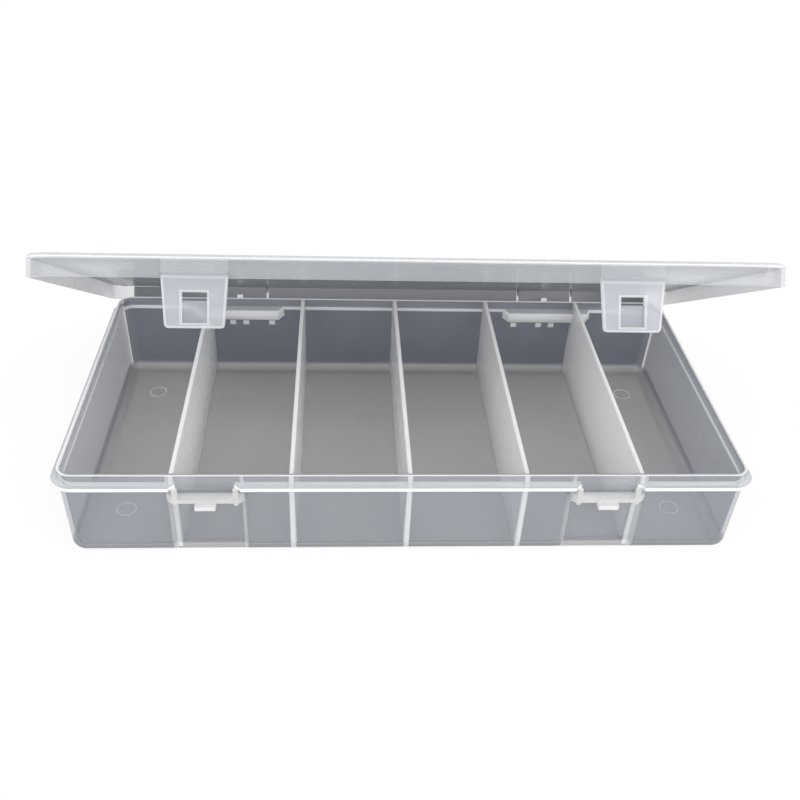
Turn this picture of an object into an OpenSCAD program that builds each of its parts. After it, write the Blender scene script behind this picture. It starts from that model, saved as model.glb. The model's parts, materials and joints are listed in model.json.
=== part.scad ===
// Clear plastic tackle box: a tray of six compartments with a hinged lid and two snap latches.
// Millimetres. The origin is the centre of the tray's underside, +Z is up, the latches face -Y.
// Most profiles are drawn in (u, z): u is the distance outwards from the upright face of the lip.

/* [Tray] */
// Width over the rim flange
box_w = 210; // [190:1:260]
// Depth over the rim flange
box_d = 108; // [90:1:160]
// Height from the underside to the top of the lip
box_h = 31.5; // [28:0.5:60]
// Thickness of the tray's walls
wall_t = 1.2; // [0.9:0.1:1.6]
// Thickness of the floor
floor_t = 1.4; // [1:0.1:2.4]
// Corner radius of the rim flange, seen from above
corner_r = 7; // [5:0.1:9]
// How far the foot of a wall stands in from its top
wall_draft = 0.6; // [0.2:0.1:1]
// Rounding along the tray's bottom edge
bottom_r = 4; // [1:0.1:5]
// Rounding inside, between floor and wall
floor_r = 2.8; // [0.6:0.1:4]

/* [Rim] */
// Height of the lip above the flange
lip_h = 3.1; // [2.4:0.1:5]
// How far the flange stands out from the lip
flange_w = 2; // [1.4:0.1:3]
// Thickness of the flange
flange_t = 1.3; // [1:0.1:2]
// Rounding of the rim's free edges
edge_r = 0.3; // [0.1:0.05:0.4]

/* [Dividers] */
// Distance from one divider to the next
divider_pitch = 34.8; // [30:0.1:36]
// Thickness of a divider at its top
divider_t = 1.4; // [1:0.1:2]
// How much thicker a divider is at the floor
divider_taper = 0.6; // [0:0.1:1]

/* [Lid] */
// Thickness of the lid's panel
lid_t = 1.4; // [1:0.1:2.4]
// Thickness of the lid's skirt
skirt_t = 1.2; // [1:0.1:1.6]
// How far the skirt hangs below the lid's ceiling
skirt_h = 5; // [4.8:0.1:6.5]
// Gap between the flange's edge and the skirt
skirt_gap = 0.3; // [0.2:0.05:0.6]
// Gap between the lip's top and the closed lid's ceiling
ceiling_gap = 0.2; // [0.1:0.05:0.5]
// Rounding of the lid's upper edge
lid_edge_r = 1.1; // [0.5:0.1:1.2]
// Angle at which the lid stands open at rest
lid_open = 33; // [0:1:120]

/* [Latches] */
// Distance from the box's middle to a latch's middle
latch_x = 60; // [40:1:75]
// Width of a latch flap at its hinge
flap_w = 17.9; // [14:0.1:20]
// How much narrower the flap is at its free end
flap_taper = 1.8; // [0:0.1:4]
// Length of the flap below the skirt
flap_h = 13.5; // [12:0.1:16]
// Thickness of the flap
flap_t = 1.7; // [1.6:0.1:2]
// How far the flap stands proud of the skirt
flap_proud = 0.2; // [0:0.05:0.5]
// Rounding of the flap's lower corners
flap_r = 1.2; // [0.5:0.1:3]
// Gap round the top of the flap, where its film hinge bends
film_gap = 0.15; // [0.1:0.05:0.3]
// How far the film hinge lies above the skirt's lower edge
film_rise = 0.4; // [0:0.1:0.8]
// Width of the bar under the flap's window
window_bar = 1.4; // [1:0.1:3]
// Thickness of the web that closes the lower part of the window
web_t = 0.8; // [0.6:0.1:1.2]

/* [Catches] */
// Width of a catch's ledge along its front edge
catch_w = 19.2; // [17:0.1:22]
// How much further the ledge reaches at the wall, on each side
catch_flare = 1.7; // [0.4:0.1:2.4]
// Gap between the ledge and the closed flap
catch_gap = 0.8; // [0.3:0.1:1]
// Gap between the flange's underside and the ramp
ramp_gap = 1.8; // [0.4:0.1:2.4]
// Height of the ramp above the ledge's edge
ramp_h = 1.9; // [1.2:0.1:3]
// Height of the ledge's edge
ledge_t = 1.4; // [1:0.1:2]
// Width of the cheeks that close the ends of the ramp
cheek_w = 1.5; // [1:0.1:2.4]
// How far the cheeks' feet hang below the ledge
foot_drop = 0.8; // [0.3:0.1:1.5]
// Width of the tooth that enters the flap's window
tooth_w = 6; // [4:0.1:8]
// How far the tooth reaches through the flap's back face
tooth_reach = 1.2; // [0.8:0.1:1.5]
// How far the tooth's top falls from its shoulder to its tip
tooth_fall = 0.3; // [0.1:0.05:0.6]
// How far the tooth hangs below the ledge
tooth_drop = 1.1; // [0.6:0.1:2]
// Gap between the tooth and the window, on each side
tooth_gap = 0.4; // [0.2:0.05:0.8]
// Gap between the tooth's shoulder and the flap's back face
shoulder_gap = 0.2; // [0.1:0.05:0.4]
// Gap between the tooth's shoulder and the window's upper edge
head_gap = 0.2; // [0.1:0.05:0.4]
// Gap between the tooth's underside and the edge that it catches
snap_gap = 0.3; // [0.2:0.05:0.5]
// Gap between the flap and the flange beside it
break_gap = 1.6; // [0.5:0.1:2.5]
// How much nearer the flange's ends come at the lip
break_flare = 2; // [0.4:0.1:3]
// Depth of the finger recess below a catch
finger_depth = 2.4; // [1.2:0.1:4]
// How far the finger recess runs on past the ledge, on each side
finger_margin = 0.3; // [0.2:0.1:2]

/* [Hinges] */
// Distance from the box's middle to a hinge's middle
hinge_x = 59; // [40:1:75]
// How far the hinge axis lies behind the flange's edge
hinge_back = 2.8; // [2.6:0.1:4]
// Gap between the skirt's lower edge and the hinge lugs
hinge_gap = 0.9; // [0.6:0.1:2]
// Diameter of the hinge pins
pin_d = 2.2; // [1.6:0.1:3]
// Gap all round between a pin and its clip
pin_gap = 0.05; // [0.02:0.01:0.1]
// Plastic round a pin in its lug
lug_wall = 1.2; // [0.8:0.1:1.4]
// Thickness of a lug
lug_t = 2.2; // [1.6:0.1:3]
// From the hinge's middle to the middle of an inner lug
lug_inner_x = 2.5; // [2.2:0.1:4]
// From the hinge's middle to the middle of an outer lug
lug_outer_x = 12.3; // [10:0.1:16]
// How far a lug's foot runs down the wall below its round end
lug_foot = 0.6; // [0:0.1:2]
// Plastic round a clip's bore
clip_wall = 1.1; // [0.8:0.1:1.3]
// Gap between a clip or tongue and the lugs beside it
clip_gap = 0.3; // [0.2:0.05:0.5]
// Width of the snap mouth as a share of the pin's diameter
snap_share = 0.78; // [0.6:0.01:0.9]
// Depth of the hollow in the rear wall over each hinge
hollow_depth = 3; // [1.5:0.1:4]
// How far down from the lip's top the hollow's inner face ends
hollow_h = 7.2; // [6.6:0.1:7.6]
// How far the hollow runs on past the outer lugs
hollow_margin = 2.4; // [0.8:0.1:4]
// How far the hollow's sides lean in over its depth
hollow_slope = 1.5; // [0.5:0.1:3]
// Height of the knuckle on the skirt above a hinge's tongue
knuckle_h = 2.4; // [1.2:0.1:4]
// How far the knuckle stands proud inside the skirt
knuckle_out = 0.8; // [0.4:0.1:1.2]

/* [Hidden] */
$fn = 48;

tray_colour = [0.78, 0.79, 0.82];
divider_colour = [0.83, 0.84, 0.86];
lid_colour = [0.80, 0.82, 0.85];
latch_colour = [0.82, 0.83, 0.88];
hinge_colour = [0.86, 0.86, 0.84];

arc_steps = 6;          // straight steps in a large rounding
edge_steps = 3;         // straight steps in a small rounding
past = 1;               // how far a cutter runs past what it cuts
least_r = 0.05;         // smallest radius left inside a rounding
divider_count = 5;
divider_mid = 3;        // number of the divider on the box's middle line

// The front and rear lip faces, u = 0, and the corner circles' centres
face_y = box_d / 2 - flange_w;
centre_x = box_w / 2 - corner_r;
centre_y = box_d / 2 - corner_r;
face_r = corner_r - flange_w;

// Roundings are limited by the corner that they run round
bottom_r_used = min(bottom_r, face_r - wall_draft - least_r);
floor_r_used = min(floor_r, face_r - wall_draft - wall_t - least_r);

// Levels of the rim
flange_top = box_h - lip_h;
flange_low = flange_top - flange_t;

// The closed lid
ceiling_z = box_h + ceiling_gap;
lid_top = ceiling_z + lid_t;
skirt_low = ceiling_z - skirt_h;
skirt_in = flange_w + skirt_gap;
skirt_out = skirt_in + skirt_t;

// The latch flap on the closed lid
flap_out = skirt_out + flap_proud;
flap_in = flap_out - flap_t;
flap_mid = (flap_out + flap_in) / 2;
flap_low = skirt_low - flap_h;
flap_round = flap_t / 2;
flap_axis_z = skirt_low + film_rise;
notch_top = flap_axis_z + flap_round + film_gap;

// The catch
catch_out = flap_in - catch_gap;
ramp_z = flange_low - ramp_gap;
ledge_top = ramp_z - ramp_h;
ledge_low = ledge_top - ledge_t;
catch_half = catch_w / 2;
shoulder_u = flap_in - shoulder_gap;
shoulder_z = ledge_top - ledge_t / 2;
tooth_out = flap_in + tooth_reach;
tooth_low = ledge_low - tooth_drop;

// The flap's window
window_w = tooth_w + 2 * tooth_gap;
window_top = shoulder_z + head_gap;
window_low = flap_low + window_bar;
catch_edge = tooth_low - snap_gap;

// The gap in the flange, the finger recess and the hollow over a hinge, half widths
break_half = flap_w / 2 + break_gap;
finger_half = catch_half + catch_flare + finger_margin;
hollow_half = lug_outer_x + lug_t / 2 + hollow_margin;
finger_slope = 1;       // how far a finger recess's sides lean in over its depth

// The hinge
lug_r = pin_d / 2 + lug_wall;
clip_bore = pin_d / 2 + pin_gap;
clip_r = clip_bore + clip_wall;
axis_u = flange_w + hinge_back;
axis_y = face_y + axis_u;
axis_z = skirt_low - hinge_gap - lug_r;
clip_mid = (lug_inner_x + lug_outer_x) / 2;
pin_l = lug_outer_x - lug_inner_x - lug_t;
clip_w = pin_l - 2 * clip_gap;
tongue_w = 2 * lug_inner_x - lug_t - 2 * clip_gap;
snap_turn = -60;        // the snap mouth looks back and down from the closed lid
rib_w = 0.8;            // ribs inside the rear skirt, in line with the clips' ends
rib_out = 0.6;

// Points on an arc
function arc(c, r, from, to, steps) = [
    for (i = [0 : steps]) let (a = from + (to - from) * i / steps) c + r * [cos(a), sin(a)]
];

// ---- Profiles in (u, z), from the lowest point outwards and up ----

function tray_outline() = concat(
    arc([-wall_draft - bottom_r_used, bottom_r_used], bottom_r_used, -90, 0, arc_steps),
    [[0, flange_low]],
    arc([flange_w - edge_r, flange_low + edge_r], edge_r, -90, 0, edge_steps),
    arc([flange_w - edge_r, flange_top - edge_r], edge_r, 0, 90, edge_steps),
    [[0, flange_top]],
    arc([-edge_r, box_h - edge_r], edge_r, 0, 90, edge_steps)
);

function tray_inside() = concat(
    arc(
        [-wall_t - wall_draft - floor_r_used, floor_t + floor_r_used],
        floor_r_used, -90, 0, arc_steps
    ),
    [[-wall_t, flange_low]],
    [[-wall_t, box_h]]
);

function lid_outline() = concat(
    arc([skirt_out - edge_r, skirt_low + edge_r], edge_r, -90, 0, edge_steps),
    arc([skirt_out - lid_edge_r, lid_top - lid_edge_r], lid_edge_r, 0, 90, arc_steps)
);

function lid_inside() = [[skirt_in, skirt_low - past], [skirt_in, ceiling_z]];

// A solid whose outline, given in (u, z), runs round the box's four sides and corners
module round_box(outline) {
    low = outline[0][1];
    high = outline[len(outline) - 1][1];
    section = concat([[0, low]], [for (p = outline) [face_r + p[0], p[1]]], [[0, high]]);
    translate([-centre_x, -centre_y, low])
        cube([2 * centre_x, 2 * centre_y, high - low]);
    for (side = [0 : 3]) {
        along = side % 2 == 0 ? centre_y : centre_x;
        out = side % 2 == 0 ? centre_x : centre_y;
        rotate(90 * side)
            translate([out, 0, 0])
                rotate([90, 0, 0])
                    linear_extrude(2 * along, center = true)
                        polygon(section);
    }
    for (quarter = [0 : 3]) {
        sx = quarter == 0 || quarter == 3 ? 1 : -1;
        sy = quarter < 2 ? 1 : -1;
        translate([sx * centre_x, sy * centre_y, 0])
            rotate(90 * quarter)
                rotate_extrude(angle = 90)
                    polygon(section);
    }
}

// Puts a (u, z) section, drawn flat, against the front or rear lip face and gives it a width
module on_front(x, width) {
    translate([x, -face_y, 0])
        rotate([90, 0, -90])
            linear_extrude(width, center = true)
                children();
}

module on_rear(x, width) {
    translate([x, face_y, 0])
        rotate([90, 0, 90])
            linear_extrude(width, center = true)
                children();
}

// Plan of a recess pressed into a wall, seen from above with the wall's face on y = 0, or
// of what is left of the wall's inner side when grow is the wall's thickness
module recess_plan(half, depth, slope, grow) {
    wide = half + grow * norm([slope, depth]) / depth;
    narrow = wide - slope * (depth + grow) / depth;
    polygon([
        [-wide, past], [wide, past], [wide, 0],
        [narrow, -depth - grow], [-narrow, -depth - grow], [-wide, 0]
    ]);
}

// Finger recesses below the catches; grow = 0 is the hollow, grow = wall_t its outside
module finger_recesses(grow) {
    for (x = [-latch_x, latch_x])
        translate([x, -face_y, -past])
            linear_extrude(ledge_low + past + grow)
                mirror([0, 1])
                    recess_plan(finger_half, finger_depth, finger_slope, grow);
}

// Hollows in the rear wall over the hinges, under the lip
module hinge_hollows(grow) {
    low = box_h - hollow_h + wall_t;
    high = flange_top - wall_t;
    for (x = [-hinge_x, hinge_x])
        translate([x, face_y, low - grow])
            linear_extrude(high - low + 2 * grow)
                recess_plan(hollow_half, hollow_depth, hollow_slope, grow);
}

// The room inside the walls, which the dividers share out
module tray_room() {
    difference() {
        round_box(tray_inside());
        finger_recesses(wall_t);
        hinge_hollows(wall_t);
    }
}

module base_tray() {
    color(tray_colour)
        difference() {
            round_box(tray_outline());
            tray_room();
            finger_recesses(0);
            hinge_hollows(0);
            for (x = [-latch_x, latch_x])
                translate([x, -face_y])
                    mirror([0, 1])
                        flange_break(break_half - break_flare, break_half);
            for (x = [-hinge_x, hinge_x])
                translate([x, face_y])
                    flange_break(hollow_half, hollow_half);
        }
}

// Takes the flange away over a stretch whose half width is given at the lip and at its edge
module flange_break(half_in, half_out) {
    translate([0, 0, flange_low - past])
        linear_extrude(flange_t + past + edge_r)
            polygon([
                [-half_in, 0], [half_in, 0], [half_out, flange_w],
                [half_out, flange_w + past], [-half_out, flange_w + past], [-half_out, flange_w]
            ]);
}

module divider(number) {
    half_top = divider_t / 2;
    half_low = half_top + divider_taper / 2;
    color(divider_colour)
        intersection() {
            translate([(number - divider_mid) * divider_pitch, 0, 0])
                rotate([90, 0, 0])
                    linear_extrude(box_d, center = true)
                        polygon([
                            [-half_low, floor_t], [half_low, floor_t],
                            [half_top, box_h], [-half_top, box_h]
                        ]);
            tray_room();
        }
}

module catch(x) {
    color(latch_colour)
        difference() {
            union() {
                ledge(x);
                for (side = [-1, 1])
                    on_front(x + side * (catch_half - cheek_w / 2), cheek_w)
                        polygon([
                            [-past, flange_low], [catch_out, flange_low],
                            [catch_out, ledge_low - foot_drop], [0, ledge_low]
                        ]);
                on_front(x, tooth_w)
                    polygon([
                        [0, ledge_top], [catch_out, ledge_top], [shoulder_u, shoulder_z],
                        [tooth_out, shoulder_z - tooth_fall], [tooth_out, tooth_low],
                        [catch_out / 2, tooth_low], [catch_out / 2, ledge_low], [0, ledge_low]
                    ]);
            }
            round_box(tray_outline());
        }
}

// The ledge and the ramp above it, wider at the wall than along the front edge
module ledge(x) {
    wide = catch_half + catch_flare;
    intersection() {
        on_front(x, 2 * wide)
            polygon([
                [-past, ramp_z], [0, ramp_z], [catch_out, ledge_top],
                [catch_out, ledge_low], [-past, ledge_low]
            ]);
        translate([x, -face_y, ledge_low])
            linear_extrude(ramp_z - ledge_low)
                polygon([
                    [-wide, past], [wide, past], [wide, 0],
                    [catch_half, -catch_out], [-catch_half, -catch_out], [-wide, 0]
                ]);
    }
}

// Four lugs on the rear wall, two each side of the hinge's middle
module hinge_lugs(x) {
    color(hinge_colour)
        difference() {
            for (offset = [-lug_outer_x, -lug_inner_x, lug_inner_x, lug_outer_x])
                on_rear(x + offset, lug_t)
                    union() {
                        translate([axis_u, axis_z])
                            circle(lug_r);
                        polygon([
                            [-past, axis_z + lug_r], [axis_u, axis_z + lug_r],
                            [axis_u, axis_z - lug_r], [0, axis_z - lug_r - lug_foot],
                            [-past, axis_z - lug_r - lug_foot]
                        ]);
                    }
            difference() {
                round_box(tray_outline());
                hinge_hollows(0);
            }
            hinge_hollows(0);
        }
}

module hinge_pins(x) {
    color(hinge_colour)
        for (side = [-1, 1])
            translate([x + side * clip_mid, axis_y, axis_z])
                rotate([0, 90, 0])
                    cylinder(d = pin_d, h = pin_l, center = true);
}

// Turns what is drawn on the closed lid to the angle at which it stands open
module opened() {
    translate([0, axis_y, axis_z])
        rotate([-lid_open, 0, 0])
            translate([0, -axis_y, -axis_z])
                children();
}

module lid_shell() {
    color(lid_colour)
        opened() {
            difference() {
                union() {
                    round_box(lid_outline());
                    for (x = [-latch_x, latch_x])
                        on_front(x, flap_w)
                            polygon([
                                [skirt_in, notch_top], [flap_out, notch_top],
                                [flap_out, lid_top - lid_edge_r], [skirt_in, lid_top - lid_edge_r]
                            ]);
                }
                round_box(lid_inside());
                for (x = [-latch_x, latch_x])
                    on_front(x, flap_w + 2 * film_gap)
                        polygon([
                            [skirt_in - past, skirt_low - past], [skirt_in - past, notch_top],
                            [flap_out + past, notch_top], [flap_out + past, skirt_low - past]
                        ]);
            }
            for (x = [-hinge_x, hinge_x])
                for (side = [-1, 1])
                    translate([x + side * (clip_mid + clip_w / 2 - rib_w / 2), 0, 0])
                        translate([-rib_w / 2, face_y + skirt_in - rib_out, skirt_low + edge_r])
                            cube([rib_w, rib_out, skirt_h - edge_r]);
            for (x = [-hinge_x, hinge_x])
                on_rear(x, tongue_w)
                    polygon([
                        [skirt_in - knuckle_out, skirt_low + edge_r],
                        [skirt_in, skirt_low + edge_r],
                        [skirt_in, skirt_low + knuckle_h],
                        [skirt_in - knuckle_out, skirt_low + knuckle_h - knuckle_out]
                    ]);
        }
}

// The arm that joins a clip or the tongue to the skirt's lower edge
module clip_arm() {
    polygon([
        [skirt_in, skirt_low], [skirt_out - edge_r, skirt_low],
        [axis_u, axis_z + clip_r], [axis_u, axis_z], [axis_u - clip_r, axis_z]
    ]);
}

module hinge_clips(x) {
    color(hinge_colour)
        opened() {
            for (side = [-1, 1])
                on_rear(x + side * clip_mid, clip_w)
                    difference() {
                        union() {
                            clip_arm();
                            translate([axis_u, axis_z])
                                circle(clip_r);
                        }
                        translate([axis_u, axis_z])
                            circle(clip_bore);
                        translate([axis_u, axis_z])
                            rotate(snap_turn)
                                translate([0, -pin_d * snap_share / 2])
                                    square([clip_r + past, pin_d * snap_share]);
                    }
            on_rear(x, tongue_w)
                union() {
                    clip_arm();
                    translate([axis_u, axis_z])
                        circle(clip_r);
                }
        }
}

// The flap's face, drawn with the box's x and z
module flap_face() {
    top_half = flap_w / 2;
    low_half = top_half - flap_taper / 2;
    polygon(concat(
        [[top_half, flap_axis_z], [-top_half, flap_axis_z]],
        arc([-low_half + flap_r, flap_low + flap_r], flap_r, 180, 270, arc_steps),
        arc([low_half - flap_r, flap_low + flap_r], flap_r, 270, 360, arc_steps)
    ));
}

module latch_flap(x) {
    color(latch_colour)
        opened()
            difference() {
                union() {
                    translate([x, -face_y - flap_in, 0])
                        rotate([90, 0, 0])
                            linear_extrude(flap_t)
                                flap_face();
                    translate([x, -face_y - flap_mid, flap_axis_z])
                        rotate([0, 90, 0])
                            cylinder(r = flap_round, h = flap_w, center = true);
                }
                // The recess in the flap's face
                translate([x - window_w / 2, -face_y - flap_out - past, window_low])
                    cube([window_w, flap_t - web_t + past, window_top - window_low]);
                // The hole that drops over the tooth
                translate([x - window_w / 2, -face_y - flap_out - past, catch_edge])
                    cube([window_w, flap_t + 2 * past, window_top - catch_edge]);
            }
}

base_tray();
divider(1);  // divider_1
divider(2);  // divider_2
divider(3);  // divider_3
divider(4);  // divider_4
divider(5);  // divider_5
catch(-latch_x);  // left_catch
catch(latch_x);  // right_catch
hinge_lugs(-hinge_x);  // left_hinge_lugs
hinge_lugs(hinge_x);  // right_hinge_lugs
hinge_pins(-hinge_x);  // left_hinge_pins
hinge_pins(hinge_x);  // right_hinge_pins
lid_shell();
hinge_clips(-hinge_x);  // left_hinge_clips
hinge_clips(hinge_x);  // right_hinge_clips
latch_flap(-latch_x);  // left_latch_flap
latch_flap(latch_x);  // right_latch_flap
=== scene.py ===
import json
import math

import bmesh
import bpy
from mathutils import Matrix, Vector
from mathutils.bvhtree import BVHTree
from mathutils.geometry import area_tri, tessellate_polygon

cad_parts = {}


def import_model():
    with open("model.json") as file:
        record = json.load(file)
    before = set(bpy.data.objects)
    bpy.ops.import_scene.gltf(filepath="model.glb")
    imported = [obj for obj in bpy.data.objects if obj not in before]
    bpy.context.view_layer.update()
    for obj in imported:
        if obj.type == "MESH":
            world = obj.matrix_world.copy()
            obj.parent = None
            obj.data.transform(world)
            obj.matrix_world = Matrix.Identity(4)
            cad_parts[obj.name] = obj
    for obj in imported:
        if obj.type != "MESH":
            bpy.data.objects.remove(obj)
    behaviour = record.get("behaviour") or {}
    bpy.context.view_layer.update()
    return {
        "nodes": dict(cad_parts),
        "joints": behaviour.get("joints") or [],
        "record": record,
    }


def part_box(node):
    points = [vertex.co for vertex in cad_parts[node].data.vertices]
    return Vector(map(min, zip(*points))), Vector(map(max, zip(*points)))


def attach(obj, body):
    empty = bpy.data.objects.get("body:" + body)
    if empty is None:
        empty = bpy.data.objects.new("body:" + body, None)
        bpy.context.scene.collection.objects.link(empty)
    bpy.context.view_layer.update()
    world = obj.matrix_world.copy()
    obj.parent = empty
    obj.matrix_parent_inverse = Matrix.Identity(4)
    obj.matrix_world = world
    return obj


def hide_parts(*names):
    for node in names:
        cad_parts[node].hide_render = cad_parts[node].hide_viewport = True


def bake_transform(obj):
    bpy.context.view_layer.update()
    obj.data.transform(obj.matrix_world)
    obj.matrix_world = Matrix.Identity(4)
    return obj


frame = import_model()

MM = 0.001
NODES = frame["nodes"]
BODIES = frame["record"]["behaviour"]["bodies"]
BODY_OF = {node: body for body, members in BODIES.items() for node in members}
JOINTS = {joint["name"]: joint for joint in frame["joints"]}
HINGE_AT = Vector(JOINTS["lid_hinge"]["pos_m"])
LID_OPEN = math.radians(-JOINTS["lid_hinge"]["range_deg"][0])

# The photograph's view, in the frame of the CAD
CAMERA_AT = Vector((-21.37, -263.2, 211.21)) * MM
CAMERA_YAW = math.radians(4.619)
CAMERA_PITCH = math.radians(35.683)
CAMERA_ROLL = math.radians(2.967)
CAMERA_FOCUS_PX = 946.5
PHOTO_WIDTH_PX = 800
SENSOR_MM = 36

# The plastic clouds as the way through it grows: how far it reaches behind each face
THIN_MM = 1.5
DEEP_MM = 3.6
MOST_DEPTH_MM = 30
DEPTH = "plastic_depth"
# A wall seen edge on veils as if it were 1 / LEAST_COSINE times as thick
LEAST_COSINE = 0.2

# Painted shade on the insides of the walls and of the lid: 0 for none, 1 for the darkest
SHADE = "painted_shade"
LEFT_SHADE, RIGHT_SHADE, REAR_SHADE = 0.68, 0.78, 0.97
SKIRT_SHADE, LID_RIB_SHADE, LID_END_SHADE, LID_CEILING_SHADE = 1.0, 0.8, 0.6, 0.88
# How the outside of a wall with painted shade inside it is marked, how much more it veils, and how
# much lighter it is painted so that it hides that shade
COVER, COVER_VEIL, COVER_LIGHT = 1, 0.7, 0.35

# The raised edge round a latch flap's front is painted lighter, as if deeper: partly its thicker
# rounded plastic, partly a painted highlight on it
BORDER = "border"
BORDER_W = 0.6 * MM
BORDER_DEPTH_MM = 0.6
# The pads on the lid's front skirt get extra depth, which paints them lighter
PAD_DEPTH_MM = 0.62

# Mesh clean-up: what counts as one vertex, one flat face and one sharp edge
JOIN_WITHIN = 0.0005 * MM
FLAT_WITHIN = math.radians(0.3)
ROUND_FROM = math.radians(30)
ROUND_SEGMENTS = 3
SHARP_FROM = math.radians(32)

# Sizes of the tray that the materials and small pieces follow
TRAY_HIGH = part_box("base_tray")[1]
WALL_T = 1.2 * MM
FLOOR_T = 1.4 * MM
LIP_H = 3.1 * MM
FLANGE_T = 1.3 * MM
FLANGE_W = 2 * MM
FLANGE_TOP = TRAY_HIGH.z - LIP_H
FACE_Y = TRAY_HIGH.y - FLANGE_W
DIVIDER_LOW, DIVIDER_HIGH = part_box("divider_3")
DIVIDER_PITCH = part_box("divider_4")[0].x - DIVIDER_LOW.x
DIVIDER_ROUND_MM = 0.25
SEAM_HALF = 0.8 * MM

# The latches and catches
FLAP_LOW, FLAP_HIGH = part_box("right_latch_flap")
LATCH_X = (FLAP_LOW.x + FLAP_HIGH.x) / 2
FLAP_HALF = (FLAP_HIGH.x - FLAP_LOW.x) / 2
FLAP_ROUND_MM = 0.4
BREAK_HALF = FLAP_HALF - 0.4 * MM
FINGER_HALF = 11.6 * MM
FLAP_OUT = 3.7 * MM
FLAP_AXIS = Vector(JOINTS["right_latch_flex"]["pos_m"])
# Faces further out than FRONT_Y are a flap's or a pad's front, and those of a flap that lie
# further in than WEB_Y are the web in its window
FRONT_Y = -FACE_Y - FLAP_OUT + 0.1 * MM
WEB_Y = -FACE_Y - FLAP_OUT + 0.5 * MM

# The hinges
LUGS_LOW, LUGS_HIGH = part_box("right_hinge_lugs")
HINGE_X = (LUGS_LOW.x + LUGS_HIGH.x) / 2
LUG_T = 2.2 * MM
LUG_INNER_X = 2.5 * MM
LUG_FOOT_HALF = 0.9 * MM
HOLLOW_HALF = (LUGS_HIGH.x - LUGS_LOW.x) / 2 + 2.4 * MM
HOLLOW_LOW = TRAY_HIGH.z - 7.2 * MM
HOLLOW_IN = 5 * MM
SMALL_ROUND_MM = 0.15


# ---- Meshes ----

def whole_faces(mesh):
    """The CAD mesh with its vertices joined and its flat faces whole again."""
    bm = bmesh.new()
    bm.from_mesh(mesh)
    bmesh.ops.remove_doubles(bm, verts=bm.verts, dist=JOIN_WITHIN)
    bmesh.ops.dissolve_limit(bm, angle_limit=FLAT_WITHIN, verts=bm.verts, edges=bm.edges)
    return bm


def soften(bm, width, lowest):
    """Rounds the sharp convex edges of a moulding, down to a height."""
    sharp = [
        e for e in bm.edges
        if len(e.link_faces) == 2
        and e.is_convex
        and e.calc_face_angle(0) > ROUND_FROM
        and min(v.co.z for v in e.verts) > lowest
    ]
    bmesh.ops.bevel(
        bm, geom=sharp, offset=width, offset_type="OFFSET", segments=ROUND_SEGMENTS,
        profile=0.5, affect="EDGES", clamp_overlap=True,
    )


def samples(face):
    """Points spread over a face, each with the area it stands for."""
    loops = [v.co for v in face.verts]
    for corners in tessellate_polygon([loops]):
        a, b, c = (loops[i] for i in corners)
        area = area_tri(a, b, c)
        for shares in ((1, 1, 1), (4, 1, 1), (1, 4, 1), (1, 1, 4)):
            point = (a * shares[0] + b * shares[1] + c * shares[2]) / sum(shares)
            yield point, area


def reach_behind(face, tree):
    """How far the plastic reaches behind most of a face, in millimetres."""
    found = []
    for point, area in samples(face):
        hit = tree.ray_cast(point - face.normal * 0.01 * MM, -face.normal)
        found.append((hit[3] / MM if hit[0] else THIN_MM, area))
    found.sort()
    half = sum(area for _, area in found) / 2
    for reach, area in found:
        half -= area
        if half <= 0:
            return min(reach, MOST_DEPTH_MM)
    return THIN_MM


def border(bm, choose):
    """Parts off a border round some flat faces, which is painted lighter as if thicker than the
    rest: partly thicker plastic, partly a painted highlight.
    """
    layer = bm.faces.layers.float.new(BORDER)
    bm.normal_update()
    bmesh.ops.triangulate(bm, faces=choose(bm))
    ring = bmesh.ops.inset_region(
        bm, faces=choose(bm), thickness=BORDER_W, use_even_offset=True
    )
    for face in ring["faces"]:
        face[layer] = BORDER_DEPTH_MM


def note_plastic(bm, shade, extra=None):
    """Writes on each face how far the plastic reaches behind it, and how much painted shade it
    gets.
    """
    added = bm.faces.layers.float.get(BORDER) or bm.faces.layers.float.new(BORDER)
    depth_layer = bm.faces.layers.float.new(DEPTH)
    shade_layer = bm.faces.layers.float.new(SHADE)
    bm.normal_update()
    tree = BVHTree.FromBMesh(bm)
    for face in bm.faces:
        centre = face.calc_center_median()
        more = extra(centre, face.normal) if extra else face[added]
        face[depth_layer] = reach_behind(face, tree) + more
        face[shade_layer] = shade(centre, face.normal)
    bmesh.ops.triangulate(bm, faces=bm.faces)


def part_of(value, low, high):
    """0 up to low, 1 from high on, and a straight slope between."""
    return min(max((value - low) / (high - low), 0), 1)


def turned(component):
    """1 for a face that looks along an axis, by its normal's component, 0 for one aside."""
    return part_of(component, 0.05, 0.5)


def turned_in(normal):
    """1 for a face that looks towards the box's front, 0 for one that looks aside."""
    return turned(-normal.y)


def turned_to_middle(normal, place):
    """1 for a face that looks along X towards the middle of the box, 0 for one aside."""
    return turned(-normal.x * math.copysign(1, place.x))


def closed_place(point):
    """Where a point of the open lid or latch lies when the box is shut."""
    return Matrix.Rotation(LID_OPEN, 3, "X") @ (point - HINGE_AT) + HINGE_AT


def closed_normal(normal):
    return Matrix.Rotation(LID_OPEN, 3, "X") @ normal


def opened_place(point):
    """Where a point of the shut lid or latch lies when the box is open."""
    return Matrix.Rotation(-LID_OPEN, 3, "X") @ (point - HINGE_AT) + HINGE_AT


def no_shade(centre, normal):
    return 0


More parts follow.
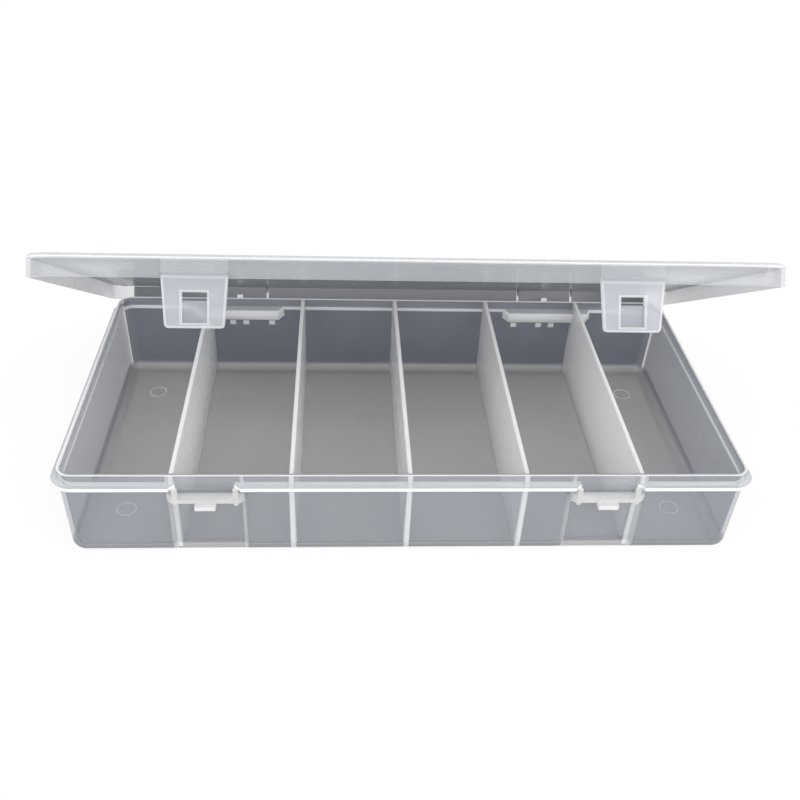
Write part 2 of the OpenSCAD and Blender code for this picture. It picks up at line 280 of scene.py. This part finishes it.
def tray_shade(centre, normal):
    """Painted shade on the insides of the rear wall and of the end walls, but not the hinge
    hollows. The outside of the rear wall is marked too, because it covers a face with painted
    shade."""
    rear = REAR_SHADE * turned_in(normal) * part_of(centre.y, 30 * MM, 45 * MM)
    at_end = part_of(abs(centre.x), 85 * MM, 95 * MM)
    end = (LEFT_SHADE if centre.x < 0 else RIGHT_SHADE) * turned_to_middle(normal, centre) * at_end
    outside = part_of(normal.y, 0.5, 0.9) * part_of(centre.y, 50 * MM, FACE_Y - 0.5 * MM)
    hollow = (
        HOLLOW_LOW - 0.5 * MM < centre.z < FLANGE_TOP + 0.2 * MM
        and abs(abs(centre.x) - HINGE_X) < HOLLOW_HALF + 2 * WALL_T
        and centre.y > 0
    )
    return 0 if hollow else max(rear, end) - COVER * outside


def lid_shade(centre, normal):
    """Painted shade on the inside of the lid, most of all at its rear skirt."""
    looks, place = closed_normal(normal), closed_place(centre)
    on_skirt = part_of(place.y, FACE_Y + 2.0 * MM, FACE_Y + 2.2 * MM)
    most = LID_RIB_SHADE + (SKIRT_SHADE - LID_RIB_SHADE) * on_skirt
    rear = turned_in(looks) * part_of(place.y, 40 * MM, 50 * MM) * most
    end = turned_to_middle(looks, place) * part_of(abs(place.x), 95 * MM, 100 * MM)
    ceiling = part_of(-looks.z, 0.3, 0.95)
    return max(rear, LID_END_SHADE * end, LID_CEILING_SHADE * ceiling)


def pad_depth(centre, normal):
    """The pads on the lid's front skirt are painted lighter than the skirt, by a depth added to
    theirs.
    """
    on_pad = closed_place(centre).y < FRONT_Y
    return PAD_DEPTH_MM if on_pad and closed_normal(normal).y < -0.9 else 0


def latch_shade(centre, normal):
    """Painted shade on the web in a latch's window, which lies recessed and is thinner than the
    flap round it.
    """
    return 1 if closed_normal(normal).y < -0.9 and closed_place(centre).y > WEB_Y else 0


def flap_front(bm):
    """The large faces of a latch flap that look out."""
    return [
        face for face in bm.faces
        if closed_normal(face.normal).y < -0.9999
        and closed_place(face.calc_center_median()).y < FRONT_Y
    ]


def moulding(
    node, material, round_mm=0, lowest=-math.inf, shade=no_shade, bordered=None, extra=None
):
    """A finished copy of a CAD node, which stands for it."""
    bm = whole_faces(NODES[node].data)
    if bordered:
        border(bm, bordered)
    if round_mm:
        soften(bm, round_mm * MM, lowest)
    note_plastic(bm, shade, extra)
    piece = finished(bm, node + "_moulding", material)
    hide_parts(node)
    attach(piece, BODY_OF[node])


def finished(bm, name, material):
    """An object of a bmesh, with its material and even shading."""
    mesh = bpy.data.meshes.new(name)
    bm.to_mesh(mesh)
    bm.free()
    mesh.shade_smooth()
    mesh.set_sharp_from_angle(angle=SHARP_FROM)
    mesh.materials.append(material)
    piece = bpy.data.objects.new(name, mesh)
    bpy.context.scene.collection.objects.link(piece)
    even = piece.modifiers.new("even_normals", "WEIGHTED_NORMAL")
    even.keep_sharp = True
    return piece


def film_hinge(side, sign):
    """The thin strip that a latch flap bends on: it bridges the gap at the flap's top."""
    thick, rows = 0.35 * MM, 8
    hollowed, proud, shy = 0.12 * MM, 0.03 * MM, 0.1 * MM
    shut = closed_place(FLAP_AXIS)
    bottom, top = shut.z - 0.5 * MM, shut.z + 1.3 * MM
    front = -FACE_Y - FLAP_OUT - proud
    ends = (sign * LATCH_X - FLAP_HALF + shy, sign * LATCH_X + FLAP_HALF - shy)
    bm = bmesh.new()
    grid = []
    for row in range(rows + 1):
        z = bottom + (top - bottom) * row / rows
        dip = hollowed * math.sin(math.pi * row / rows)
        for y in (front + dip, front + thick + dip):
            for x in ends:
                grid.append(bm.verts.new(opened_place(Vector((x, y, z)))))
    corners = (0, 1, 3, 2)
    bm.faces.new([grid[i] for i in corners])
    bm.faces.new([grid[4 * rows + i] for i in reversed(corners)])
    for row in range(rows):
        low, high = 4 * row, 4 * row + 4
        for a, b in zip(corners, corners[1:] + corners[:1]):
            bm.faces.new([grid[i] for i in (low + b, low + a, high + a, high + b)])
    bmesh.ops.recalc_face_normals(bm, faces=bm.faces)
    note_plastic(bm, no_shade)
    piece = finished(bm, side + "_film_hinge", latch_plastic)
    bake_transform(piece)


def pin_mark(name, x, y):
    """The faint raised ring that an ejector pin leaves on the floor."""
    radius, width, height, sunk = 3.0 * MM, 0.45 * MM, 0.12 * MM, 0.02 * MM
    steps, section = 48, 6
    bm = bmesh.new()
    rings = []
    for step in range(steps):
        turn = 2 * math.pi * step / steps
        ring = []
        for k in range(section):
            lean = math.pi * k / (section - 1)
            r = radius + width / 2 * math.cos(lean)
            z = FLOOR_T - sunk + height * math.sin(lean)
            ring.append(bm.verts.new((x + r * math.cos(turn), y + r * math.sin(turn), z)))
        rings.append(ring)
    for step in range(steps):
        a, b = rings[step], rings[(step + 1) % steps]
        for k in range(section):
            n = (k + 1) % section
            bm.faces.new((a[k], b[k], b[n], a[n]))
    bmesh.ops.recalc_face_normals(bm, faces=bm.faces)
    note_plastic(bm, no_shade)
    piece = finished(bm, name, mark_painted_highlight_plastic)
    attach(piece, "tray")


# ---- Materials ----

class Tree:
    """A short way to write the nodes of a material or a world."""

    def __init__(self, owner):
        owner.use_nodes = True
        self.nodes = owner.node_tree.nodes
        self.links = owner.node_tree.links
        self.nodes.clear()

    def add(self, kind, settings=None, **inputs):
        made = self.nodes.new("ShaderNode" + kind)
        for key, value in (settings or {}).items():
            setattr(made, key, value)
        for key, value in inputs.items():
            self.feed(made, key.replace("_", " "), value)
        return made

    def feed(self, node, socket, value):
        by_place = socket[0] == "i" and socket[1:].isdigit()
        target = node.inputs[int(socket[1:]) if by_place else socket]
        if isinstance(value, bpy.types.NodeSocket):
            self.links.new(value, target)
        else:
            target.default_value = value

    def math(self, operation, a, b=0.0, clamp=False):
        settings = {"operation": operation, "use_clamp": clamp}
        return self.add("Math", settings, i0=a, i1=b).outputs[0]

    def ramp(self, value, low, high, to_low=0.0, to_high=1.0, smooth=False):
        kind = "SMOOTHSTEP" if smooth else "LINEAR"
        made = self.add("MapRange", {"interpolation_type": kind}, Value=value)
        ends = {"From Min": low, "From Max": high, "To Min": to_low, "To Max": to_high}
        for socket, number in ends.items():
            self.feed(made, socket, number)
        return made.outputs["Result"]

    def noise(self, where, scale, detail=3.0, roughness=0.5):
        made = self.add(
            "TexNoise", Vector=where, Scale=scale, Detail=detail, Roughness=roughness
        )
        return made.outputs["Fac"]

    def stretched(self, where, scale, turn):
        made = self.add("Mapping", Vector=where)
        made.inputs["Scale"].default_value = scale
        made.inputs["Rotation"].default_value = (0, 0, turn)
        return made.outputs["Vector"]

    def split(self, vector):
        """The X, Y and Z of a vector."""
        return self.add("SeparateXYZ", Vector=vector).outputs

    def mix(self, share, a, b):
        """Two colours mixed."""
        return self.add("Mix", {"data_type": "RGBA"}, i0=share, i6=a, i7=b).outputs[2]

    def blend(self, share, a, b):
        """Two numbers mixed."""
        return self.add("Mix", {"data_type": "FLOAT"}, i0=share, i2=a, i3=b).outputs[0]

    def scratches(self, where, scale, turn):
        """Thin marks that run one way."""
        return self.ramp(self.noise(self.stretched(where, scale, turn), 1, 2, 0.6), 0.70, 0.78)

    def end(self, kind, surface):
        """Ends the tree in an output node."""
        self.links.new(surface, self.add(kind).inputs["Surface"])


def grey(r, g, b):
    """A colour written as it looks on a screen, 0 to 255."""
    def light(v):
        v /= 255
        return v / 12.92 if v <= 0.04045 else ((v + 0.055) / 1.055) ** 2.4
    return (light(r), light(g), light(b), 1.0)


def near(t, value, middle, half, soft=0.25 * MM):
    """1 where value lies within half of middle, with a soft edge."""
    away = t.math("ABSOLUTE", t.math("SUBTRACT", value, middle))
    return t.ramp(away, half + soft, half - soft, smooth=True)


def above(t, value, level, soft=0.2 * MM):
    """1 where value is more than level, with a soft edge."""
    return t.ramp(value, level - soft, level + soft, smooth=True)


def both(t, *masks):
    """1 where every mask is 1."""
    made = masks[0]
    for mask in masks[1:]:
        made = t.math("MULTIPLY", made, mask)
    return made


def hinge_solid(t, aside, y, z):
    """The masks of the hinge hollows and of the feet of the lugs below them."""
    behind = above(t, y, FACE_Y - HOLLOW_IN)
    hollow = both(
        t, near(t, aside, HINGE_X, HOLLOW_HALF + WALL_T), behind,
        near(t, z, (HOLLOW_LOW + FLANGE_TOP) / 2, (FLANGE_TOP - HOLLOW_LOW) / 2),
    )
    from_hinge = t.math("ABSOLUTE", t.math("SUBTRACT", aside, HINGE_X))
    outer = near(t, from_hinge, (LUGS_HIGH.x - HINGE_X) - LUG_T / 2, LUG_T / 2)
    inner = near(t, from_hinge, LUG_INNER_X, LUG_T / 2)
    feet = both(
        t, t.math("MAXIMUM", outer, inner), behind,
        near(t, z, LUGS_LOW.z + LUG_FOOT_HALF, LUG_FOOT_HALF),
    )
    return hollow, feet


def rim_solid(t, aside, from_latch, y, z):
    """The masks of the flange, which is broken at the latches and hinges, and of the lip."""
    before = t.ramp(y, 0, -1 * MM)
    on_wall = both(t, above(t, y, -0.05 * MM - FACE_Y, 0.02 * MM), before)
    front_break = both(t, on_wall, near(t, from_latch, 0, BREAK_HALF))
    rear_break = both(t, above(t, y, FACE_Y - HOLLOW_IN), near(t, aside, HINGE_X, HOLLOW_HALF))
    whole = t.math("SUBTRACT", 1.0, t.math("MAXIMUM", front_break, rear_break))
    middle = FLANGE_TOP - FLANGE_T / 2 + 0.012 * MM
    flange = both(t, near(t, z, middle, FLANGE_T / 2, 0.1 * MM), whole)
    return flange, above(t, z, FLANGE_TOP)


def tray_solid(t, where):
    """Where more plastic lies behind the tray's surface than its wall: at the flange, behind the
    ends of the dividers, round the hinge hollows and where the lugs stand. The hinge hollows are
    also painted light, where little light reaches them."""
    place = t.split(where)
    x, y, z = place["X"], place["Y"], place["Z"]
    aside = t.math("ABSOLUTE", x)
    from_latch = t.math("ABSOLUTE", t.math("SUBTRACT", aside, LATCH_X))
    from_seam = t.math("PINGPONG", x, DIVIDER_PITCH / 2)
    seams = both(
        t,
        t.ramp(from_seam, SEAM_HALF + 0.3 * MM, SEAM_HALF - 0.3 * MM, smooth=True),
        t.math("LESS_THAN", aside, 2.5 * DIVIDER_PITCH),
        above(t, z, FLOOR_T),
    )
    finger_side = both(
        t, near(t, from_latch, FINGER_HALF - 0.8 * MM, 0.6 * MM),
        t.ramp(y, 6 * MM - FACE_Y, 5 * MM - FACE_Y),
    )
    flange, lip = rim_solid(t, aside, from_latch, y, z)
    hollow, feet = hinge_solid(t, aside, y, z)
    # The hinge hollows take the full deep colour: partly the plastic stacked there, partly painted
    # light
    shares = ((seams, 0.6), (flange, 0.9), (lip, 0.1), (finger_side, 0.4), (hollow, 1.0))
    solid = feet
    for mask, share in shares:
        solid = t.math("MAXIMUM", solid, t.math("MULTIPLY", mask, share))
    return solid


def tray_floor(t, where):
    """The floor of the tray, up into the round that leads to its walls, where its painted shade
    lies.
    """
    place = t.split(where)
    inset = WALL_T + 0.02 * MM
    return both(
        t,
        t.math("LESS_THAN", t.math("ABSOLUTE", place["X"]), TRAY_HIGH.x - inset),
        t.math("LESS_THAN", t.math("ABSOLUTE", place["Y"]), FACE_Y - inset),
        t.ramp(place["Z"], FLOOR_T + 2.4 * MM, FLOOR_T + 1 * MM),
    )


class Finish:
    """The colours and veils of one plastic: where it is thin, where it is deep, and where painted
    shade darkens it.
    """

    def __init__(self, thin, deep, veil, deep_veil, shaded=None, shaded_veil=None):
        self.thin, self.deep = thin, deep
        self.veil, self.deep_veil = veil, deep_veil
        self.shaded = shaded or thin
        self.shaded_veil = veil if shaded_veil is None else shaded_veil


# The grain of the plastic: broad clouds in it, and a fine unevenness of its surface
CLOUD_SCALE, FINE_SCALE = 22, 380
# Scratches run two ways, long along one axis and fine across it
SCRATCH_SCALES = ((40, 1800, 40), (1600, 35, 40))
SCRATCH_TURNS = (0.5, -0.3)
# How much scuffs and clouds lighten the plastic, dull it and cloud it
SCUFF_LIGHT, SCUFF_DULL, SCUFF_VEIL = 0.3, 0.2, 0.12
CLOUD_LIGHT = 0.08
CLOUD_VEIL = (-0.02, 0.03)
GRAIN_BUMP, GRAIN_HEIGHT = 0.03, 0.2 * MM
PLASTIC_IOR = 1.49
SCATTER_DEPTH = 4 * MM


def scuffs(t, where, cloud, wear):
    """Where the surface is scratched: in some clouds, and most of all on top."""
    normal = t.add("NewGeometry").outputs["Normal"]
    upward = t.ramp(t.split(normal)["Z"], 0.3, 0.8)
    one, other = (
        t.scratches(where, scale, turn) for scale, turn in zip(SCRATCH_SCALES, SCRATCH_TURNS)
    )
    marks = t.math("MULTIPLY", t.math("MAXIMUM", one, other), t.ramp(cloud, 0.45, 0.62))
    return t.math("MULTIPLY", marks, t.ramp(upward, 0, 1, 0.2 * wear, wear))


def milky_plastic(name, finish, floor=None, solid=None, wear=0.5, scatter=0.0, rough=0.2):
    """Clear milky polypropylene: thin walls veil what is behind them, and thick ones hide it."""
    material = bpy.data.materials.new(name)
    t = Tree(material)
    where = t.add("TexCoord").outputs["Object"]
    written = {"attribute_type": "GEOMETRY"}
    depth = t.add("Attribute", {"attribute_name": DEPTH, **written}).outputs["Fac"]
    shade = t.add("Attribute", {"attribute_name": SHADE, **written}).outputs["Fac"]
    thick = t.ramp(depth, THIN_MM, DEEP_MM, smooth=True)
    if solid:
        thick = t.math("MAXIMUM", thick, solid(t, where))
    cover = t.ramp(shade, 0, -COVER)
    cloud = t.noise(where, CLOUD_SCALE)
    fine = t.noise(where, FINE_SCALE)
    scuff = scuffs(t, where, cloud, wear)

    # The way through a wall grows as it is seen aslant, and so does what it hides
    facing = t.add("LayerWeight", Blend=0.5).outputs["Facing"]
    way = t.math("DIVIDE", 1.0, t.ramp(facing, 0, 1, 1.0, LEAST_COSINE))
    # Faces with strong painted shade veil more; those with weaker painted shade veil more only
    # where seen aslant
    aslant = t.math("MAXIMUM", t.ramp(facing, 0.25, 0.5), t.ramp(shade, 0.85, 0.95))
    shading = t.math("MULTIPLY", shade, aslant)
    veil = t.ramp(shading, 0.6, 1, finish.veil, finish.shaded_veil)
    # A painted whitish sheen: clear faces that are seen almost edge on are painted toward the deep
    # colour
    sheen = t.math("MULTIPLY", t.ramp(facing, 0.85, 1), t.ramp(shade, 0, 0.5, 1, 0))

    # Painted shade: faces marked with it take the darker shaded colour
    colour = t.mix(shade, finish.thin, finish.shaded)
    # The tray's floor is painted a darker grey and veils more: painted shade for the shadowed
    # ground under the box seen through it
    if floor:
        on_floor = tray_floor(t, where)
        colour = t.mix(on_floor, colour, floor[0])
        veil = t.blend(on_floor, veil, floor[1])
    veil = t.blend(cover, veil, COVER_VEIL)
    # The outside of a wall with painted shade inside is painted lighter; thick plastic and the
    # painted sheen take the deep colour; clouds and scuffs lighten it a little
    for share in (
        t.math("MULTIPLY", cover, COVER_LIGHT),
        t.math("MAXIMUM", thick, sheen),
        t.ramp(cloud, 0.3, 0.7, 0.0, CLOUD_LIGHT),
        t.math("MULTIPLY", scuff, SCUFF_LIGHT),
    ):
        colour = t.mix(share, colour, finish.deep)

    seen_by = t.math("POWER", t.math("SUBTRACT", 1.0, veil), way)
    alpha = t.blend(thick, t.math("SUBTRACT", 1.0, seen_by), finish.deep_veil)
    alpha = t.math("ADD", alpha, t.ramp(cloud, 0.3, 0.7, *CLOUD_VEIL))
    alpha = t.math("ADD", alpha, t.math("MULTIPLY", scuff, SCUFF_VEIL), clamp=True)
    grain = t.ramp(fine, 0.3, 0.7, rough - 0.04, rough + 0.06)
    roughness = t.math("ADD", grain, t.math("MULTIPLY", scuff, SCUFF_DULL))
    relief = t.math("ADD", fine, t.math("MULTIPLY", cloud, 2.0))
    bump = t.add("Bump", Strength=GRAIN_BUMP, Distance=GRAIN_HEIGHT, Height=relief)
    shader = t.add(
        "BsdfPrincipled",
        Base_Color=colour, Roughness=roughness, Alpha=alpha, Normal=bump.outputs["Normal"],
    )
    shader.inputs["IOR"].default_value = PLASTIC_IOR
    shader.inputs["Subsurface Weight"].default_value = scatter
    shader.inputs["Subsurface Scale"].default_value = SCATTER_DEPTH
    shader.inputs["Subsurface Radius"].default_value = (1, 1, 1)
    t.end("OutputMaterial", shader.outputs["BSDF"])
    return material


# The tray's grey tint and its darker floor are painted shade for the shadowed ground seen through
# the clear plastic
tray_plastic = milky_plastic(
    "tray_plastic",
    Finish(grey(143, 150, 160), grey(244, 246, 247), 0.2, 0.92, grey(105, 112, 127), 0.85),
    floor=(grey(165, 163, 165), 0.66),
    solid=tray_solid,
)
divider_plastic = milky_plastic(
    "divider_plastic", Finish(grey(252, 252, 252), grey(242, 243, 244), 0.42, 0.9), scatter=1.0
)
lid_plastic = milky_plastic(
    "lid_plastic",
    Finish(grey(212, 216, 221), grey(246, 247, 248), 0.2, 0.9, grey(90, 96, 108), 0.86),
    wear=0.15,
)
# The latch's shaded colour is painted shade on the recessed web in each window
latch_plastic = milky_plastic(
    "latch_plastic",
    Finish(grey(194, 196, 204), grey(244, 246, 248), 0.5, 0.92, grey(168, 170, 180), 0.5),
    scatter=0.5,
)
hinge_plastic = milky_plastic(
    "hinge_plastic", Finish(grey(226, 226, 225), grey(248, 248, 246), 0.45, 0.8), scatter=0.8
)
# The pin-mark rings are painted near white: a painted highlight on their raised edges
mark_painted_highlight_plastic = milky_plastic(
    "mark_painted_highlight_plastic", Finish(grey(240, 241, 243), grey(250, 250, 250), 0.7, 0.9)
)


# ---- The box ----

PIN_MARK_AT = Vector((89, 32.6)) * MM

moulding("base_tray", tray_plastic, shade=tray_shade)
for number in range(1, 6):
    moulding(
        "divider_%d" % number, divider_plastic, DIVIDER_ROUND_MM,
        lowest=DIVIDER_HIGH.z - 0.5 * MM,
    )
moulding("lid_shell", lid_plastic, shade=lid_shade, extra=pad_depth)
for side, sign in (("left", -1), ("right", 1)):
    moulding(side + "_catch", hinge_plastic, SMALL_ROUND_MM)
    moulding(side + "_hinge_lugs", hinge_plastic, SMALL_ROUND_MM)
    moulding(side + "_hinge_pins", hinge_plastic)
    moulding(side + "_hinge_clips", hinge_plastic, SMALL_ROUND_MM)
    moulding(
        side + "_latch_flap", latch_plastic, FLAP_ROUND_MM,
        shade=latch_shade, bordered=flap_front,
    )
    film_hinge(side, sign)
    for end, way in (("front", -1), ("rear", 1)):
        pin_mark("%s_%s_pin_mark" % (side, end), sign * PIN_MARK_AT.x, way * PIN_MARK_AT.y)


# ---- Stage, light and camera ----

STAGE_HALF = 4
STAGE_COLOUR = (0.97, 0.97, 0.97, 1)
# Of what the camera sees of the floor, the share that is plain white; the rest holds the shadow
STAGE_WHITE = 0.85
WORLD_LIGHT = 0.66
LIGHT_SPREAD, LIGHT_TILT = 45, 55


def stage_floor():
    mesh = bpy.data.meshes.new("studio_floor")
    near_x, far_x = -STAGE_HALF, STAGE_HALF
    corners = [(near_x, near_x, 0), (far_x, near_x, 0), (far_x, far_x, 0), (near_x, far_x, 0)]
    mesh.from_pydata(corners, [], [(0, 1, 2, 3)])
    piece = bpy.data.objects.new("studio_floor", mesh)
    bpy.context.scene.collection.objects.link(piece)
    material = bpy.data.materials.new("studio_floor")
    t = Tree(material)
    shader = t.add("BsdfDiffuse", Color=STAGE_COLOUR)
    white = t.add("Emission", Strength=1.0)
    seen = t.math("MULTIPLY", t.add("LightPath").outputs["Is Camera Ray"], STAGE_WHITE)
    mixed = t.add("MixShader", i0=seen, i1=shader.outputs[0], i2=white.outputs[0])
    t.end("OutputMaterial", mixed.outputs[0])
    mesh.materials.append(material)


def world():
    """Even light, and plain white for the camera, for reflections and through the plastic."""
    made = bpy.data.worlds.new("studio")
    bpy.context.scene.world = made
    t = Tree(made)
    path = t.add("LightPath").outputs
    seen = t.math("MAXIMUM", path["Is Camera Ray"], path["Is Transmission Ray"])
    seen = t.math("MAXIMUM", seen, path["Is Glossy Ray"])
    lit = t.add("Background", Color=(1, 1, 1, 1), Strength=WORLD_LIGHT)
    white = t.add("Background", Color=(1, 1, 1, 1), Strength=1.0)
    mixed = t.add("MixShader", i0=seen, i1=lit.outputs[0], i2=white.outputs[0])
    t.end("OutputWorld", mixed.outputs[0])


def sun(name, strength, turn):
    """A wide, soft light from the front, turned to one side."""
    light = bpy.data.lights.new(name, "SUN")
    light.energy = strength
    light.angle = math.radians(LIGHT_SPREAD)
    piece = bpy.data.objects.new(name, light)
    piece.rotation_euler = (math.radians(LIGHT_TILT), 0, math.radians(turn))
    bpy.context.scene.collection.objects.link(piece)


def camera():
    data = bpy.data.cameras.new("camera")
    data.sensor_width = SENSOR_MM
    data.lens = CAMERA_FOCUS_PX / PHOTO_WIDTH_PX * SENSOR_MM
    data.clip_start = 0.01
    piece = bpy.data.objects.new("camera", data)
    piece.matrix_world = (
        Matrix.Translation(CAMERA_AT)
        @ Matrix.Rotation(-CAMERA_YAW, 4, "Z")
        @ Matrix.Rotation(math.pi / 2 - CAMERA_PITCH, 4, "X")
        @ Matrix.Rotation(CAMERA_ROLL, 4, "Z")
    )
    bpy.context.scene.collection.objects.link(piece)
    bpy.context.scene.camera = piece


stage_floor()
world()
sun("key", 1.14, -42)
sun("fill", 1.45, 44)
camera()
bpy.context.scene.view_settings.view_transform = "Standard"
